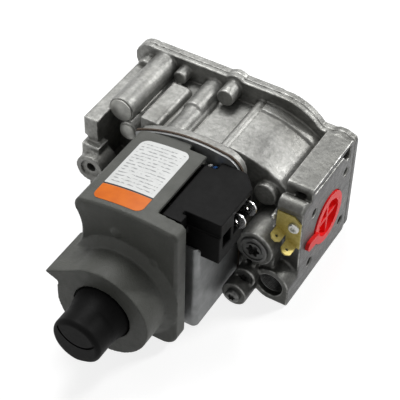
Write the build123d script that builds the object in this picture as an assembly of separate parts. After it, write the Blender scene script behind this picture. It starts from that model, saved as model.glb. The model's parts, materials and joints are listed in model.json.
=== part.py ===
from build123d import *
import math
import os

os.makedirs("parts", exist_ok=True)

# Furnace gas valve: a die-cast body with a pipe port at each end, a diaphragm
# cover bolted on its back, and a control head with a knob bolted on its front.
# Millimetres. +X runs from the inlet face to the outlet face, -Y points to the
# knob, +Z is up. The origin is the centre of the inlet port, on the inlet face.

# Overall sizes
face_to_face = 127.0    # inlet face to outlet face
base_z = -30.0          # the flat the whole valve rests on
block_top_z = 36.0      # top of the two pipe blocks
flange_top_z = 46.0     # top edge of the back flange
mid_x = face_to_face / 2

# Clearances
running = 0.05          # radial gap of a turning or sliding fit
apart = 0.3             # gap between bodies that move past each other
seat = 0.02             # gap between rubber and the metal it closes on

# Sheet, wall and casting thicknesses
flange_t = 3.2          # back flange of the body
diaphragm_t = 0.8
back_cover_t = 3.0
head_flange_t = 5.6     # front flange of the body
gasket_t = 1.0
plate_t = 1.4           # steel mounting plate of the head
shell_t = 2.2           # plastic head cover
frame_t = 1.5           # steel solenoid frame

# Stack of planes along Y, from the back to the knob
back_y = 29.0
diaphragm_y = back_y - back_cover_t
flange_y = diaphragm_y - diaphragm_t
flange_front_y = flange_y - flange_t
front_y = -34.8
gasket_y = front_y - gasket_t
plate_y = gasket_y - plate_t
frame_front_y = -78.0
lip_y = -86.0           # where the cover's short right side starts
cover_y = -95.0         # front face of the cover
collar_y = -115.5       # front face of the collar round the knob
knob_y = -138.0         # end of the knob

# Ports
port_r = 12.6           # 3/4 inch taper thread, at mid depth
port_depth = 18.0
port_end_x = 22.0       # end of the narrower step behind each thread
screen_r = 11.6
port_mouth_r = 15.4
bolt_half = 17.75       # half the side of each flange's bolt square
bolt_r = 2.6            # outlet flange screws
inlet_bolt_r = 2.1      # not equal to bolt_r, which keeps the two patterns on one axis apart
bolt_depth = 8.0

# Head
knob_r = 13.5
knob_gap = 2.4          # between the knob and the collar
skirt_r = 15.2          # foot of the knob, inside the collar
flat_z = 11.4           # the knob's flat lies this far from its axis
flat_turn = -21.0       # degrees, flat turned from straight below
collar_r = 26.0
shaft_r = 3.2
coil_r = 10.2
coil_half = 15.0        # coil axes lie this far each side of the shaft
coil_z = -4.0
plunger_r = 4.4
plunger_travel = 2.4
head_half = 30.0        # cover centre line to its left or right side
cover_top_z = 50.0
frame_half = 31.0

# Main valve
main_x = mid_x + 8.5
main_z = 8.0
main_seat_r = 9.0
main_lift = 2.5
seat_y = 8.0            # back face of the wall that holds the main seat

# Regulator
reg_x = face_to_face - 20.4
reg_z = 2.2
reg_r = 10.3
reg_y = -42.0


def box(x0, x1, y0, y1, z0, z1):
    middle = Pos((x0 + x1) / 2, (y0 + y1) / 2, (z0 + z1) / 2)
    return middle * Box(x1 - x0, y1 - y0, z1 - z0)


def rod_y(x, z, r, y0, y1):
    return Pos(x, (y0 + y1) / 2, z) * Rot(90, 0, 0) * Cylinder(r, y1 - y0)


def rod_x(y, z, r, x0, x1):
    return Pos((x0 + x1) / 2, y, z) * Rot(0, 90, 0) * Cylinder(r, x1 - x0)


def rod_z(x, y, r, z0, z1):
    return Pos(x, y, (z0 + z1) / 2) * Cylinder(r, z1 - z0)


def cone_y(x, z, r_back, r_front, y0, y1):
    """A cone along Y with r_front at y0, its end nearest the knob, and r_back at y1."""
    return Pos(x, (y0 + y1) / 2, z) * Rot(90, 0, 0) * Cone(r_back, r_front, y1 - y0)


def dome_y(x, z, r, height, y):
    """A shallow dome of base radius r that rises towards the knob from y."""
    ball = (r * r + height * height) / (2 * height)
    ball_solid = Pos(x, y - height + ball, z) * Sphere(ball)
    return ball_solid & rod_y(x, z, r, y - height - 1, y)


def extrude_y(outline, y0, y1):
    """Extrudes an outline drawn in X and Z from y1 towards the knob, to y0."""
    return extrude(Plane.XZ.offset(-y1) * outline, amount=y1 - y0)


def polygon(points, corner=0.0):
    shape = make_face(Polyline(*points, close=True))
    return fillet(shape.vertices(), corner) if corner else shape


def disc(x, z, r):
    return Pos(x, z) * Circle(r)


def rectangle(x0, x1, z0, z1, corner=0.0):
    shape = Rectangle(x1 - x0, z1 - z0)
    if corner:
        shape = fillet(shape.vertices(), corner)
    return Pos((x0 + x1) / 2, (z0 + z1) / 2) * shape


def ring_y(x, z, r, hole_r, y0, y1):
    return rod_y(x, z, r, y0, y1) - rod_y(x, z, hole_r, y0 - 1, y1 + 1)


def spring_y(x, z, r, wire_r, y0, y1, turns):
    """A coil spring along Y, drawn as closed rings so each end is flat."""
    pitch = (y1 - y0 - 2 * wire_r) / turns
    helix = Helix(pitch, y1 - y0 - 2 * wire_r, r)
    path = Pos(x, y1 - wire_r, z) * Rot(90, 0, 0) * helix
    section = Plane(origin=path @ 0, z_dir=path % 0) * Circle(wire_r)
    return sweep(section, path=path)


def star_y(x, z, r, y0, y1):
    """A six-lobed driver recess along Y."""
    recess = rod_y(x, z, 0.72 * r, y0, y1)
    for i in range(6):
        angle = math.radians(60 * i)
        recess += rod_y(x + 0.74 * r * math.cos(angle), z + 0.74 * r * math.sin(angle),
                        0.26 * r, y0, y1)
    return recess


def screw_y(x, z, shank_r, head_r, head_t, face_y, tip_y):
    """A six-lobe pan screw. Its head stands on face_y, and its shank runs to tip_y."""
    way = 1 if tip_y > face_y else -1
    head_y = face_y - way * head_t
    low, high = sorted((head_y, face_y))
    head = rod_y(x, z, head_r, low, high)
    edge = head.edges().filter_by(GeomType.CIRCLE).sort_by(Axis.Y)
    head = fillet(edge[0] if way > 0 else edge[-1], 0.45 * head_t)
    low, high = sorted((face_y, tip_y))
    shank = rod_y(x, z, shank_r, low, high)
    low, high = sorted((head_y - way, head_y + way * 0.55 * head_t))
    return head + shank - star_y(x, z, 0.55 * head_r, low, high)


def write(node, shape):
    solids = shape if isinstance(shape, list) else shape.solids()
    solid = solids[0] if len(solids) == 1 else Compound(children=list(solids))
    solid.label = node
    export_step(solid, "parts/" + node + ".step")


# ---------------------------------------------------------------- back outline
barrel_x = face_to_face - 42.5
barrel_z = 15.5
barrel_r = 22.0
lobe_r = 7.5
back_screw_r = 2.0
back_screws = [
    (5.0, flange_top_z - 9.0),
    (27.5, flange_top_z - 7.5),
    (mid_x - 6.5, flange_top_z - 4.5),
    (face_to_face - 8.0, block_top_z - 7.0),
    (face_to_face - 8.0, base_z + 8.0),
    (mid_x + 2.0, base_z + 5.5),
    (6.0, base_z + 8.0),
]


def back_outline():
    outline = rectangle(4.0, barrel_x + 3.0, base_z, flange_top_z, 5.0)
    outline += disc(barrel_x, barrel_z, flange_top_z - barrel_z)
    outline += rectangle(barrel_x, face_to_face, base_z, block_top_z - 1.0, 3.0)
    outline += disc(back_screws[0][0], back_screws[0][1], lobe_r + 1.8)
    outline += disc(back_screws[2][0], back_screws[2][1], lobe_r - 1.0)
    outline += disc(back_screws[3][0], back_screws[3][1], lobe_r)
    outline += disc(back_screws[6][0], back_screws[6][1], lobe_r)
    return outline


def back_holes(r, y0, y1):
    holes = [rod_y(x, z, r, y0, y1) for x, z in back_screws]
    return Compound(children=holes)


# --------------------------------------------------------------- front outline
head_x = mid_x
plate_left = head_x - 30.0
plate_right = head_x + frame_half
plate_crown_z = cover_top_z + 1.5
plate_screw_r = 2.0
plate_screws = [
    (head_x - 20.0, base_z + 6.8),
    (head_x - 17.0, cover_top_z - 20.0),
    (head_x + 8.0, cover_top_z - 9.5),
    (plate_right - 6.5, base_z + 5.5),
]


def head_outline(grow=0.0):
    left = plate_left - grow
    right = plate_right + grow
    top = plate_crown_z + grow
    base = make_face(
        Polyline((left, top - 9.0), (left, base_z), (right, base_z), (right, top - 12.0))
        + ThreePointArc((right, top - 12.0), (right - 3.4, top - 3.6), (right - 11.0, top - 0.6))
        + ThreePointArc((right - 11.0, top - 0.6), (head_x - 4.0, top - 0.3), (left, top - 9.0))
    )
    return base


# ------------------------------------------------------------------ valve body
rib_front_y = front_y + head_flange_t - 0.5
web_top_z = block_top_z - 2.5
left_wall_t = 8.5
ear_x = 8.6
ear_z = 10.0
boss_r = 10.4
boss_x = face_to_face - boss_r
boss_z = base_z + boss_r
boss_hole_r = 7.0
boss_y = -41.5
foot_r = 7.0
foot_x = face_to_face - 24.4
foot_z = base_z + foot_r
foot_y = -54.0
trim_r = 6.0
trim_x = face_to_face - 22.4
trim_z = foot_z + 7.2
trim_y = -47.0
vent_x = face_to_face - 22.8
vent_z = 0.5 * (trim_z + reg_z) - 1.6
vent_y = reg_y
taps = [(15.0, 38.0, 6.4, -22.0), (20.2, 27.0, 4.6, -24.0)]     # x, z, radius, front y
step_disc_x = face_to_face - 26.2
step_disc_z = 20.6
step_disc_r = 6.5
ground_x = face_to_face - 4.2
ground_z = 17.5
ground_y = -31.0
peg_x = face_to_face - 15.8
peg_z = 20.0
arch_r = 55.0           # wide arch over the diaphragm chamber, left and right ends of it along X
arch_left = mid_x + 13.5
arch_right = face_to_face - 14.0
arch_top_z = block_top_z + 2.4
arch_front_y = -18.0
valve_chamber_r = 23.5
pocket_r = 8.6
pocket_y = -24.0
knob_z = 0.0


def coil_axes():
    return [(head_x - coil_half, coil_z), (head_x + coil_half, coil_z)]


def arch(grow, y0, y1):
    """Slice of a large round bar, from the middle rib down to the outlet's block."""
    bar = rod_y(arch_left - 1.0, arch_top_z - arch_r, arch_r + grow, y0, y1)
    return bar & box(arch_left, arch_right, y0, y1, -2.0, arch_top_z + 5)


def body_outside():
    right_x = face_to_face - 15.0
    body = box(left_wall_t, barrel_x + 1.5, front_y + head_flange_t, flange_front_y, base_z, web_top_z)
    body -= box(left_wall_t, plate_left - 4.5, front_y, -14.0, 4.0, block_top_z + 20)
    # pipe blocks
    left = box(0, left_wall_t, -35.0, flange_front_y + 2.0, base_z, block_top_z)
    body += fillet(left.edges().filter_by(Axis.X), 0.8)
    body -= box(-1, 1.8, -36.0, -22.5, base_z - 1, block_top_z - 12.0)
    body += box(0, 19.0, -14.0, flange_front_y, base_z, block_top_z)
    right = box(right_x, face_to_face, -22.0, flange_front_y + 2.0, base_z, block_top_z)
    right = fillet(right.edges().filter_by(Axis.X).group_by(Axis.Z)[-1], 2.0)
    body += right
    low = box(right_x, face_to_face, ground_y, 0, base_z, block_top_z - 7.0)
    low = fillet(low.edges().filter_by(Axis.X).group_by(Axis.Z)[-1].sort_by(Axis.Y)[0], 3.6)
    body += low
    body += box(barrel_x - 6, right_x + 2, front_y + head_flange_t + 2.0, flange_front_y, base_z, -2.0)
    # ribs and passages that run from front to back
    for (x, z, r, y), back in zip(taps, (flange_front_y + 1, -4.0)):
        body += rod_y(x, z, r + 1.0, y, back)
    bar = box(26.4, 37.2, -21.5, 14.0, 20.0, block_top_z + 2.0)
    bar = fillet(bar.edges().filter_by(Axis.Y).group_by(Axis.Z)[-1].sort_by(Axis.X)[-1], 3.2)
    bar = chamfer(bar.edges().group_by(Axis.Y)[-1].group_by(Axis.Z)[-1], 2.8)
    body += bar
    body += rod_y(45.6, block_top_z - 1.0, 6.0, -1.0, flange_front_y + 1)
    body += rod_y(46.2, block_top_z - 2.4, 6.0, rib_front_y, flange_front_y + 1)
    body += rod_y(51.0, block_top_z - 1.8, 1.9, rib_front_y, 12.0)
    body += rod_y(74.2, block_top_z + 0.6, 2.9, rib_front_y, flange_front_y + 1)
    body += box(71.3, 77.1, rib_front_y, flange_front_y + 1, web_top_z - 6, block_top_z + 0.6)
    body += rod_y(barrel_x, barrel_z, barrel_r, -16.0, flange_front_y + 1)
    body += arch(0.0, arch_front_y, flange_front_y + 1)
    body += arch(1.3, 15.0, flange_front_y + 1)
    body += rod_x(0, 0, port_r + 3.4, barrel_x + 8, right_x + 2)
    for x, z in back_screws:
        body += rod_y(x, z, back_screw_r + 1.9, 15.0, flange_front_y + 1)
    body += rod_y(back_screws[2][0], back_screws[2][1] - 1.4, 4.9, 12.0, flange_front_y + 1)
    body += rod_y(step_disc_x, step_disc_z, step_disc_r, -22.5, -10.0)
    # back flange, and the front flange that carries the head
    body += extrude_y(back_outline(), flange_front_y, flange_y)
    body += extrude_y(head_outline(-0.8), front_y, front_y + head_flange_t)
    # bosses on the front of the outlet end
    body += box(boss_x, face_to_face, boss_y, -20.0, base_z, boss_z)
    body += rod_y(boss_x, boss_z, boss_r, boss_y, -18.0)
    body += rod_y(reg_x, reg_z, reg_r, reg_y, -8.0)
    body += rod_y(foot_x, foot_z, foot_r, foot_y, -20.0)
    body += rod_y(trim_x, trim_z, trim_r, trim_y, -20.0)
    body += rod_y(vent_x, vent_z, 4.2, vent_y, -20.0)
    body += box(foot_x - 3.0, boss_x, vent_y + 3.0, -20.0, foot_z, reg_z)
    body += rod_y(peg_x, peg_z, 1.3, ground_y - 3.0, -20.0)
    # front lug of the inlet end
    body += rod_y(ear_x, ear_z, 8.2, -44.0, -30.0)
    body += box(0.6, ear_x + 3.0, -39.0, -30.0, ear_z - 8.0, ear_z + 11.5)
    # lip that carries the ground bracket
    body += rod_x(ground_y + 3.4, block_top_z - 8.0, 4.0, face_to_face - 14.6, face_to_face - 0.8)
    return body


def body_passages():
    """The gas way and every drilled or cored hole, as one tool to cut with."""
    cut = [
        rod_x(0, 0, port_r, -1, port_depth),
        rod_x(0, 0, screen_r, port_depth - 1, port_end_x),
        rod_x(0, 0, port_r, face_to_face - port_depth, face_to_face + 1),
        rod_x(0, 0, screen_r, face_to_face - port_end_x, face_to_face - port_depth + 1),
        # inlet chamber, chamber under the main seat, and the way to the outlet
        box(port_end_x - 2, mid_x - 10, -11, 13, -13, 13),
        box(mid_x - 4, main_x + 11, -20, seat_y - 3, -13, 18),
        rod_y(main_x, main_z, valve_chamber_r, seat_y, flange_y + 1),
        rod_y(main_x, main_z, main_seat_r, seat_y - 4, seat_y + 1),
        box(main_x + 16, face_to_face - port_end_x + 2, -8, seat_y + 6, -9, 11),
        # front pockets for the knob's gas cock and the two solenoid valves
        rod_y(head_x, knob_z, pocket_r, front_y - 1, pocket_y),
        rod_y(boss_x, boss_z, boss_hole_r, boss_y - 1, boss_y + 14),
        rod_y(reg_x, reg_z, reg_r - 3.2, reg_y - 1, reg_y + 20),
        rod_y(reg_x, reg_z, 4.0, reg_y + 19, reg_y + 32),
        rod_y(foot_x, foot_z, plate_screw_r, foot_y - 1, foot_y + 16),
        rod_y(trim_x, trim_z, plate_screw_r, trim_y - 1, trim_y + 16),
        cone_y(trim_x, trim_z, plate_screw_r, 4.4, trim_y - 0.01, trim_y + 3.4),
        rod_y(vent_x, vent_z, 1.7, vent_y - 1, vent_y + 8),
        rod_y(ear_x, ear_z, 2.6, -45, -34),
        rod_y(ear_x, ear_z, 5.4, -45, -42.6),
    ]
    for x, z, r, y in taps:
        cut.append(rod_y(x, z, r - 0.8, y - 1, y + 6))
    for x, z in coil_axes():
        cut.append(rod_y(x, z, pocket_r, front_y - 1, pocket_y))
        cut.append(rod_y(x, z, 3.6, pocket_y - 1, -10))
    cut.append(rod_y(head_x, knob_z, 3.6, pocket_y - 1, -10))
    for side_y in (-1, 1):
        for side_z in (-1, 1):
            y = side_y * bolt_half
            z = side_z * bolt_half
            cut.append(rod_x(y, z, inlet_bolt_r, -1, bolt_depth))
            cut.append(rod_x(y, z, bolt_r, face_to_face - bolt_depth, face_to_face + 1))
    for x, z in back_screws:
        cut.append(rod_y(x, z, back_screw_r, flange_y - 9.0, flange_y + 1))
    for x, z in plate_screws:
        cut.append(rod_y(x, z, plate_screw_r, front_y - 1, front_y + 9))
    # slot in the outlet block's front, and the shallow pockets behind its face
    slot = box(face_to_face - 10.0, face_to_face - 3.5, -23, -14, 28.6, 32.4)
    cut.append(fillet(slot.edges().filter_by(Axis.Y), 1.8))
    cut.append(rod_x(0, 0, port_mouth_r, face_to_face - 1.6, face_to_face + 1))
    groove = make_face(Polyline(
        (-19.5, 31.6), (-19.5, 33.0), (20.8, 33.6), (20.8, 25.6), (17.6, 25.6), (13.2, 31.2), (-19.5, 31.6),
    ))
    cut.append(extrude(Plane.YZ.offset(face_to_face + 1) * groove, amount=-6.0))
    # screw of the ground bracket and the peg beside it
    cut.append(rod_y(ground_x, ground_z, 1.6, ground_y - 6, ground_y + 8))
    return cut


def valve_body():
    body = body_outside()
    for tool in body_passages():
        body -= tool
    return body


write("valve_body", valve_body())

# ---------------------------------------------------------- back of the casting
cover_dome_r = 26.0
cover_dome_y = back_y + 4.0
spring_seat_y = cover_dome_y - 2.0


def diaphragm_outline(edge):
    return offset(back_outline(), -edge)


def back_cover():
    """A flat cover with a low dome, and a shallow recess that hides the diaphragm's edge."""
    cover = extrude_y(back_outline(), flange_y, back_y)
    cover -= extrude_y(diaphragm_outline(1.6), flange_y - 1, diaphragm_y)
    dome = rod_y(main_x, main_z, cover_dome_r, back_y - 1, cover_dome_y)
    cover += fillet(dome.edges().filter_by(GeomType.CIRCLE).sort_by(Axis.Y)[-1], 2.5)
    cover -= rod_y(main_x, main_z, cover_dome_r - 3.0, diaphragm_y - 1, spring_seat_y)
    return cover - back_holes(back_screw_r + 0.3, flange_y - 1, back_y + 1)


def main_diaphragm():
    sheet = extrude_y(diaphragm_outline(1.7), flange_y, diaphragm_y)
    return sheet - back_holes(back_screw_r + 0.3, flange_y - 1, diaphragm_y + 1)


def back_cover_screws():
    screws = []
    for x, z in back_screws:
        tip = flange_y - 8.0 if z < 0 or x > mid_x else flange_y - 8.6
        screws.append(screw_y(x, z, back_screw_r - running, 3.9, 2.4, back_y, tip))
    return screws


diaphragm_plate_y = flange_y - 1.5 - apart
main_disc_t = 2.4


def diaphragm_plate():
    plate = ring_y(main_x, main_z, 20.0, 2.0 + running, diaphragm_plate_y, flange_y - apart)
    return plate


def main_valve_stem():
    disc_y = seat_y + seat
    stem = rod_y(main_x, main_z, 2.0, disc_y + main_disc_t, flange_y - apart)
    return stem + rod_y(main_x, main_z, 9.0, disc_y + main_disc_t, disc_y + main_disc_t + 1.4)


def main_valve_disc():
    low = seat_y + seat
    return rod_y(main_x, main_z, main_seat_r + 2.0, low, low + main_disc_t - seat)


write("back_cover", back_cover())
write("main_diaphragm", main_diaphragm())
write("back_cover_screws", back_cover_screws())
write("diaphragm_plate", diaphragm_plate())
write("main_valve_stem", main_valve_stem())
write("main_valve_disc", main_valve_disc())
write("main_valve_spring", spring_y(main_x, main_z, 9.0, 0.5, diaphragm_y + 0.1, spring_seat_y - 0.1, 2.5))

# --------------------------------------------------------- fittings of the body
def tap_plug(x, z, r, y):
    """A pressed-in round plug with a shallow dome."""
    shank = rod_y(x, z, r - 0.8 - running, y - 0.5, y + 5.0)
    return shank + rod_y(x, z, r, y - 0.9, y) + dome_y(x, z, r, 1.2, y - 0.9)


def inlet_screen():
    """A round mesh strainer that lies across the inlet chamber's mouth."""
    rim = rod_x(0, 0, screen_r - running, port_depth + 0.6, port_depth + 1.8)
    rim -= rod_x(0, 0, screen_r - 1.6, port_depth, port_depth + 3)
    mesh = rod_x(0, 0, screen_r - 1.0, port_depth + 1.0, port_depth + 1.4)
    pitch = 2.4
    steps = range(-4, 5)
    for i in steps:
        for j in steps:
            if math.hypot(i, j) * pitch < screen_r - 2.8:
                mesh -= box(port_depth, port_depth + 3, i * pitch - 0.75, i * pitch + 0.75,
                            j * pitch - 0.75, j * pitch + 0.75)
    return rim + mesh


def outlet_plug():
    """A moulded plug pushed in the outlet port, with a bar across and a pull tab."""
    face = face_to_face
    plug = rod_x(0, 0, port_mouth_r - 0.3, face - 1.3, face + 0.6)
    plug += rod_x(0, 0, port_r - apart, face - 10.0, face - 1.0)
    plug -= rod_x(0, 0, port_r - 1.9, face - 8.4, face + 2)
    plug += box(face - 8.4, face - 0.4, -0.9, 0.9, 1.2 - port_r, port_r - 1.2)
    plug += box(face - 8.4, face - 0.4, 1.2 - port_r, port_r - 1.2, -0.9, 0.9)
    tab = Box(2.0, 12.0, 5.6)
    tab = fillet(tab.edges().filter_by(Axis.X).group_by(Axis.Y)[0], 2.6)
    return plug + Pos(face + 1.1, -19.4, -1.2) * Rot(-8, 0, 0) * tab


def regulator_cap():
    cap = rod_y(reg_x, reg_z, reg_r - 3.2 - running, reg_y - 0.4, reg_y + 5.0)
    rim = rod_y(reg_x, reg_z, reg_r - 2.6, reg_y - 1.4, reg_y - 0.05)
    cap += fillet(rim.edges().filter_by(GeomType.CIRCLE).sort_by(Axis.Y)[0], 0.5)
    cap -= ring_y(reg_x, reg_z, 6.4, 4.7, reg_y - 2.0, reg_y - 0.7)
    cap -= star_y(reg_x, reg_z, 3.9, reg_y - 3, reg_y + 2.4)
    return cap


adjuster_y = reg_y + 6.0
adjuster_r = reg_r - 3.2 - running


def regulator_adjuster():
    adjuster = rod_y(reg_x, reg_z, adjuster_r, adjuster_y, adjuster_y + 4.0)
    return adjuster - box(reg_x - 5, reg_x + 5, adjuster_y - 1, adjuster_y + 1.4, reg_z - 0.7, reg_z + 0.7)


regulator_cup_y = reg_y + 17.0


def regulator_cup():
    cup = rod_y(reg_x, reg_z, 6.0, regulator_cup_y, regulator_cup_y + 1.4)
    return cup + rod_y(reg_x, reg_z, 1.8, regulator_cup_y + 1.4, regulator_cup_y + 2.9)


write("body_plugs", [tap_plug(*tap) for tap in taps])
write("inlet_screen", inlet_screen())
write("outlet_plug", outlet_plug())
write("regulator_cap", regulator_cap())
write("regulator_adjuster", regulator_adjuster())
write("regulator_spring", spring_y(reg_x, reg_z, 4.6, 0.5, adjuster_y + 4.1, regulator_cup_y - 0.1, 4))
write("regulator_cup", regulator_cup())
write("foot_screw", screw_y(foot_x, foot_z, plate_screw_r - running, 4.0, 2.4, foot_y, foot_y + 15))


def trim_screw():
    head = cone_y(trim_x, trim_z, plate_screw_r - running, 4.0, trim_y + 0.4, trim_y + 3.4)
    head += rod_y(trim_x, trim_z, plate_screw_r - running, trim_y + 3.4, trim_y + 15)
    return head - star_y(trim_x, trim_z, 2.2, trim_y, trim_y + 2.0)


write("trim_screw", trim_screw())

# ------------------------------------------------------------- ground terminals
bracket_t = 0.8
bracket_left = face_to_face - 14.0
bracket_right = face_to_face - 0.6
blade_half = 3.175
blade_len = 8.4


def ground_bracket():
    """A brass plate on the casting with two blades bent towards the front."""
    face = ground_y - bracket_t
    plate = polygon([
        (bracket_left, block_top_z - 11.6), (bracket_right - 4.0, block_top_z - 11.6),
        (bracket_right, block_top_z - 15.4), (bracket_right, 3.6),
        (bracket_left + 5.6, 6.0), (bracket_left + 5.6, 9.4), (bracket_left - 0.4, 13.8),
    ])
    bracket = extrude_y(plate, face, ground_y)
    for x, z in blade_places():
        blade = box(-blade_half, blade_half, -blade_len, 0, -bracket_t, 0)
        blade = chamfer(blade.edges().filter_by(Axis.Z).group_by(Axis.Y)[0], 1.9)
        blade -= rod_z(0, -blade_len + 3.2, 0.9, -2, 1)
        bracket += Pos(x, face + 0.2, z) * Rot(0, 30, 0) * blade
    bracket -= rod_y(ground_x, ground_z, 1.9, face - 1, ground_y + 1)
    return bracket


def blade_places():
    return [(bracket_left + 3.0, 12.6), (bracket_left + 9.2, 6.0)]


write("ground_bracket", ground_bracket())
write("ground_screw", screw_y(ground_x, ground_z, 1.6 - running, 3.0, 1.9, ground_y - bracket_t, ground_y + 7))

# ---------------------------------------------------- head: gasket, plate, frame
def head_holes(y0, y1, screw_gap):
    holes = [rod_y(x, z, plate_screw_r + screw_gap, y0, y1) for x, z in plate_screws]
    holes.append(rod_y(head_x, knob_z, shaft_r + running, y0, y1))
    return holes


def head_gasket():
    gasket = extrude_y(head_outline(0.6), gasket_y, front_y)
    for hole in head_holes(gasket_y - 1, front_y + 1, 0.3):
        gasket -= hole
    for x, z in coil_axes():
        gasket -= rod_y(x, z, pocket_r, gasket_y - 1, front_y + 1)
    return gasket


tube_r = plunger_r + running + 0.7


def mounting_plate():
    plate = extrude_y(head_outline(), plate_y, gasket_y)
    for hole in head_holes(plate_y - 1, gasket_y + 1, 0.3):
        plate -= hole
    for x, z in coil_axes():
        plate -= rod_y(x, z, tube_r, plate_y - 1, gasket_y + 1)
    return plate


def mounting_screws():
    return [screw_y(x, z, plate_screw_r - running, 3.6, 2.2, plate_y, front_y + 8) for x, z in plate_screws]


frame_left = head_x - 27.4
frame_right = head_x + frame_half
frame_top_z = 26.0


def solenoid_frame():
    """A steel strip bent round the two coils: two legs and a front bridge."""
    outer = rectangle(frame_left, frame_right, frame_front_y, plate_y, 0.0)
    outer = fillet(outer.vertices().group_by(Axis.Y)[0], 3.0)
    inner = rectangle(frame_left + frame_t, frame_right - frame_t, frame_front_y + frame_t, plate_y + 1, 0.0)
    inner = fillet(inner.vertices().group_by(Axis.Y)[0], 0.6)
    strip = extrude(Plane.XY.offset(base_z) * (outer - inner), amount=frame_top_z - base_z)
    strip -= rod_y(head_x, knob_z, shaft_r + 0.6, frame_front_y - 1, frame_front_y + 3)
    for x, z in coil_axes():
        strip -= rod_y(x, z, tube_r + 0.1, frame_front_y - 1, frame_front_y + 3)
    # the frame clears the cover's floor, and its left leg clears the cover's waist and corner
    low = base_z + shell_t + 0.1
    strip -= box(frame_left - 1, frame_right - 7.6, frame_front_y - 1, plate_y + 1, base_z - 1, low)
    strip -= box(frame_left - 1, head_x - 22.0, frame_front_y - 1, plate_y + 1, base_z - 1, base_z + 7.0)
    return strip - box(frame_left - 1, head_x - 20.0, frame_front_y - 1, plate_y + 1, 8.0, frame_top_z + 1)


write("head_gasket", head_gasket())
write("mounting_plate", mounting_plate())
write("mounting_screws", mounting_screws())
write("solenoid_frame", solenoid_frame())

# ------------------------------------------------------------------- solenoids
bobbin_front_y = frame_front_y + frame_t
bobbin_back_y = plate_y
flange_w = 1.4
tube_front_y = frame_front_y - 2.0
plunger_back_y = pocket_y - 3.0
plunger_front_y = tube_front_y + 8.0


def bobbin(x, z):
    spool = ring_y(x, z, tube_r + 1.2, tube_r + 0.05, bobbin_front_y, bobbin_back_y)
    spool += ring_y(x, z, coil_r, tube_r + 0.05, bobbin_front_y, bobbin_front_y + flange_w)
    return spool + ring_y(x, z, coil_r, tube_r + 0.05, bobbin_back_y - flange_w, bobbin_back_y)


def winding(x, z):
    return ring_y(x, z, coil_r - 0.8, tube_r + 1.2, bobbin_front_y + flange_w, bobbin_back_y - flange_w)


def guide_tube(x, z):
    """A brass tube closed at the front, flanged where the plate traps it."""
    tube = rod_y(x, z, tube_r, tube_front_y, gasket_y)
    tube += rod_y(x, z, pocket_r - 0.6, gasket_y, gasket_y + 0.8)
    return tube - rod_y(x, z, plunger_r + running, tube_front_y + 1.2, gasket_y + 2)


def plunger(x, z):
    core = rod_y(x, z, plunger_r, plunger_front_y, plunger_back_y - 2.0)
    core -= rod_y(x, z, 2.6, plunger_front_y - 1, plunger_front_y + 6)
    return core


def plunger_seal(x, z):
    low = plunger_back_y - 2.0
    return rod_y(x, z, 5.6, low, pocket_y - seat)


def plunger_spring(x, z):
    return spring_y(x, z, 1.9, 0.35, tube_front_y + 1.3, plunger_front_y + 5.9, 7)


for number, (axis_x, axis_z) in enumerate(coil_axes(), 1):
    write(f"bobbin_{number}", bobbin(axis_x, axis_z))
    write(f"winding_{number}", winding(axis_x, axis_z))
    write(f"guide_tube_{number}", guide_tube(axis_x, axis_z))
    write(f"plunger_{number}", plunger(axis_x, axis_z))
    write(f"plunger_seal_{number}", plunger_seal(axis_x, axis_z))
    write(f"plunger_spring_{number}", plunger_spring(axis_x, axis_z))

# -------------------------------------------------------------- knob and shaft
shaft_front_y = knob_y + 8.0
cock_y = pocket_y - 6.0
knob_back_y = collar_y + 6.0


def d_rod(r, y0, y1, flat):
    """A round rod with a flat along it."""
    rod = rod_y(head_x, knob_z, r, y0, y1)
    return rod - box(head_x - r - 1, head_x + r + 1, y0 - 1, y1 + 1, knob_z + flat, knob_z + r + 1)


def knob():
    body = rod_y(head_x, knob_z, knob_r, knob_y, knob_back_y)
    body = fillet(body.edges().filter_by(GeomType.CIRCLE).sort_by(Axis.Y)[0], 2.6)
    body += rod_y(head_x, knob_z, skirt_r, collar_y - 0.5, knob_back_y)
    body += cone_y(head_x, knob_z, skirt_r, knob_r, collar_y - 9.0, collar_y - 0.5)
    body -= rod_y(head_x, knob_z, knob_r - 2.2, knob_y + 5.0, knob_back_y + 1)
    body += rod_y(head_x, knob_z, 6.2, knob_y + 4.0, knob_back_y)
    # a flat along the lower side and a bowed groove in the end show which way the knob is turned
    flat = box(head_x - knob_r, head_x + knob_r, knob_y - 1, collar_y - 5.0, knob_z - knob_r - 1, knob_z - flat_z)
    groove = ring_y(head_x + 1.0, knob_z + 9.5, 11.7, 10.5, knob_y - 1, knob_y + 1.0)
    groove &= rod_y(head_x, knob_z, knob_r - 1.6, knob_y - 2, knob_y + 2)
    body -= flat.rotate(Axis((head_x, 0, knob_z), (0, 1, 0)), flat_turn)
    body -= groove
    return body - d_rod(shaft_r + running, shaft_front_y - 0.2, knob_back_y + 1, 2.2 + running)


def knob_shaft():
    shaft = d_rod(shaft_r, shaft_front_y, knob_back_y + apart, 2.2)
    return shaft + rod_y(head_x, knob_z, shaft_r, knob_back_y + apart, cock_y)


def gas_cock():
    """The turning gate on the shaft's inner end, with one passage through it."""
    gate = rod_y(head_x, knob_z, pocket_r - running, cock_y, pocket_y - seat)
    return gate - rod_y(head_x + 4.6, knob_z, 2.4, cock_y - 1, pocket_y + 1)


def shaft_seal():
    return ring_y(head_x, knob_z, shaft_r + 0.9, shaft_r + running, plate_y - 1.7, plate_y)


def detent_clip():
    """A spring-steel washer that holds the knob at each stop."""
    clip = ring_y(head_x, knob_z, 4.0, shaft_r + running, plate_y - 2.7, plate_y - 1.7)
    return clip + box(head_x - 1.5, head_x + 1.5, plate_y - 2.7, plate_y - 1.7, knob_z + 3.6, knob_z + 9.0)


write("knob", knob())
write("knob_shaft", knob_shaft())
write("gas_cock", gas_cock())
write("shaft_seal", shaft_seal())
write("detent_clip", detent_clip())

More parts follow.
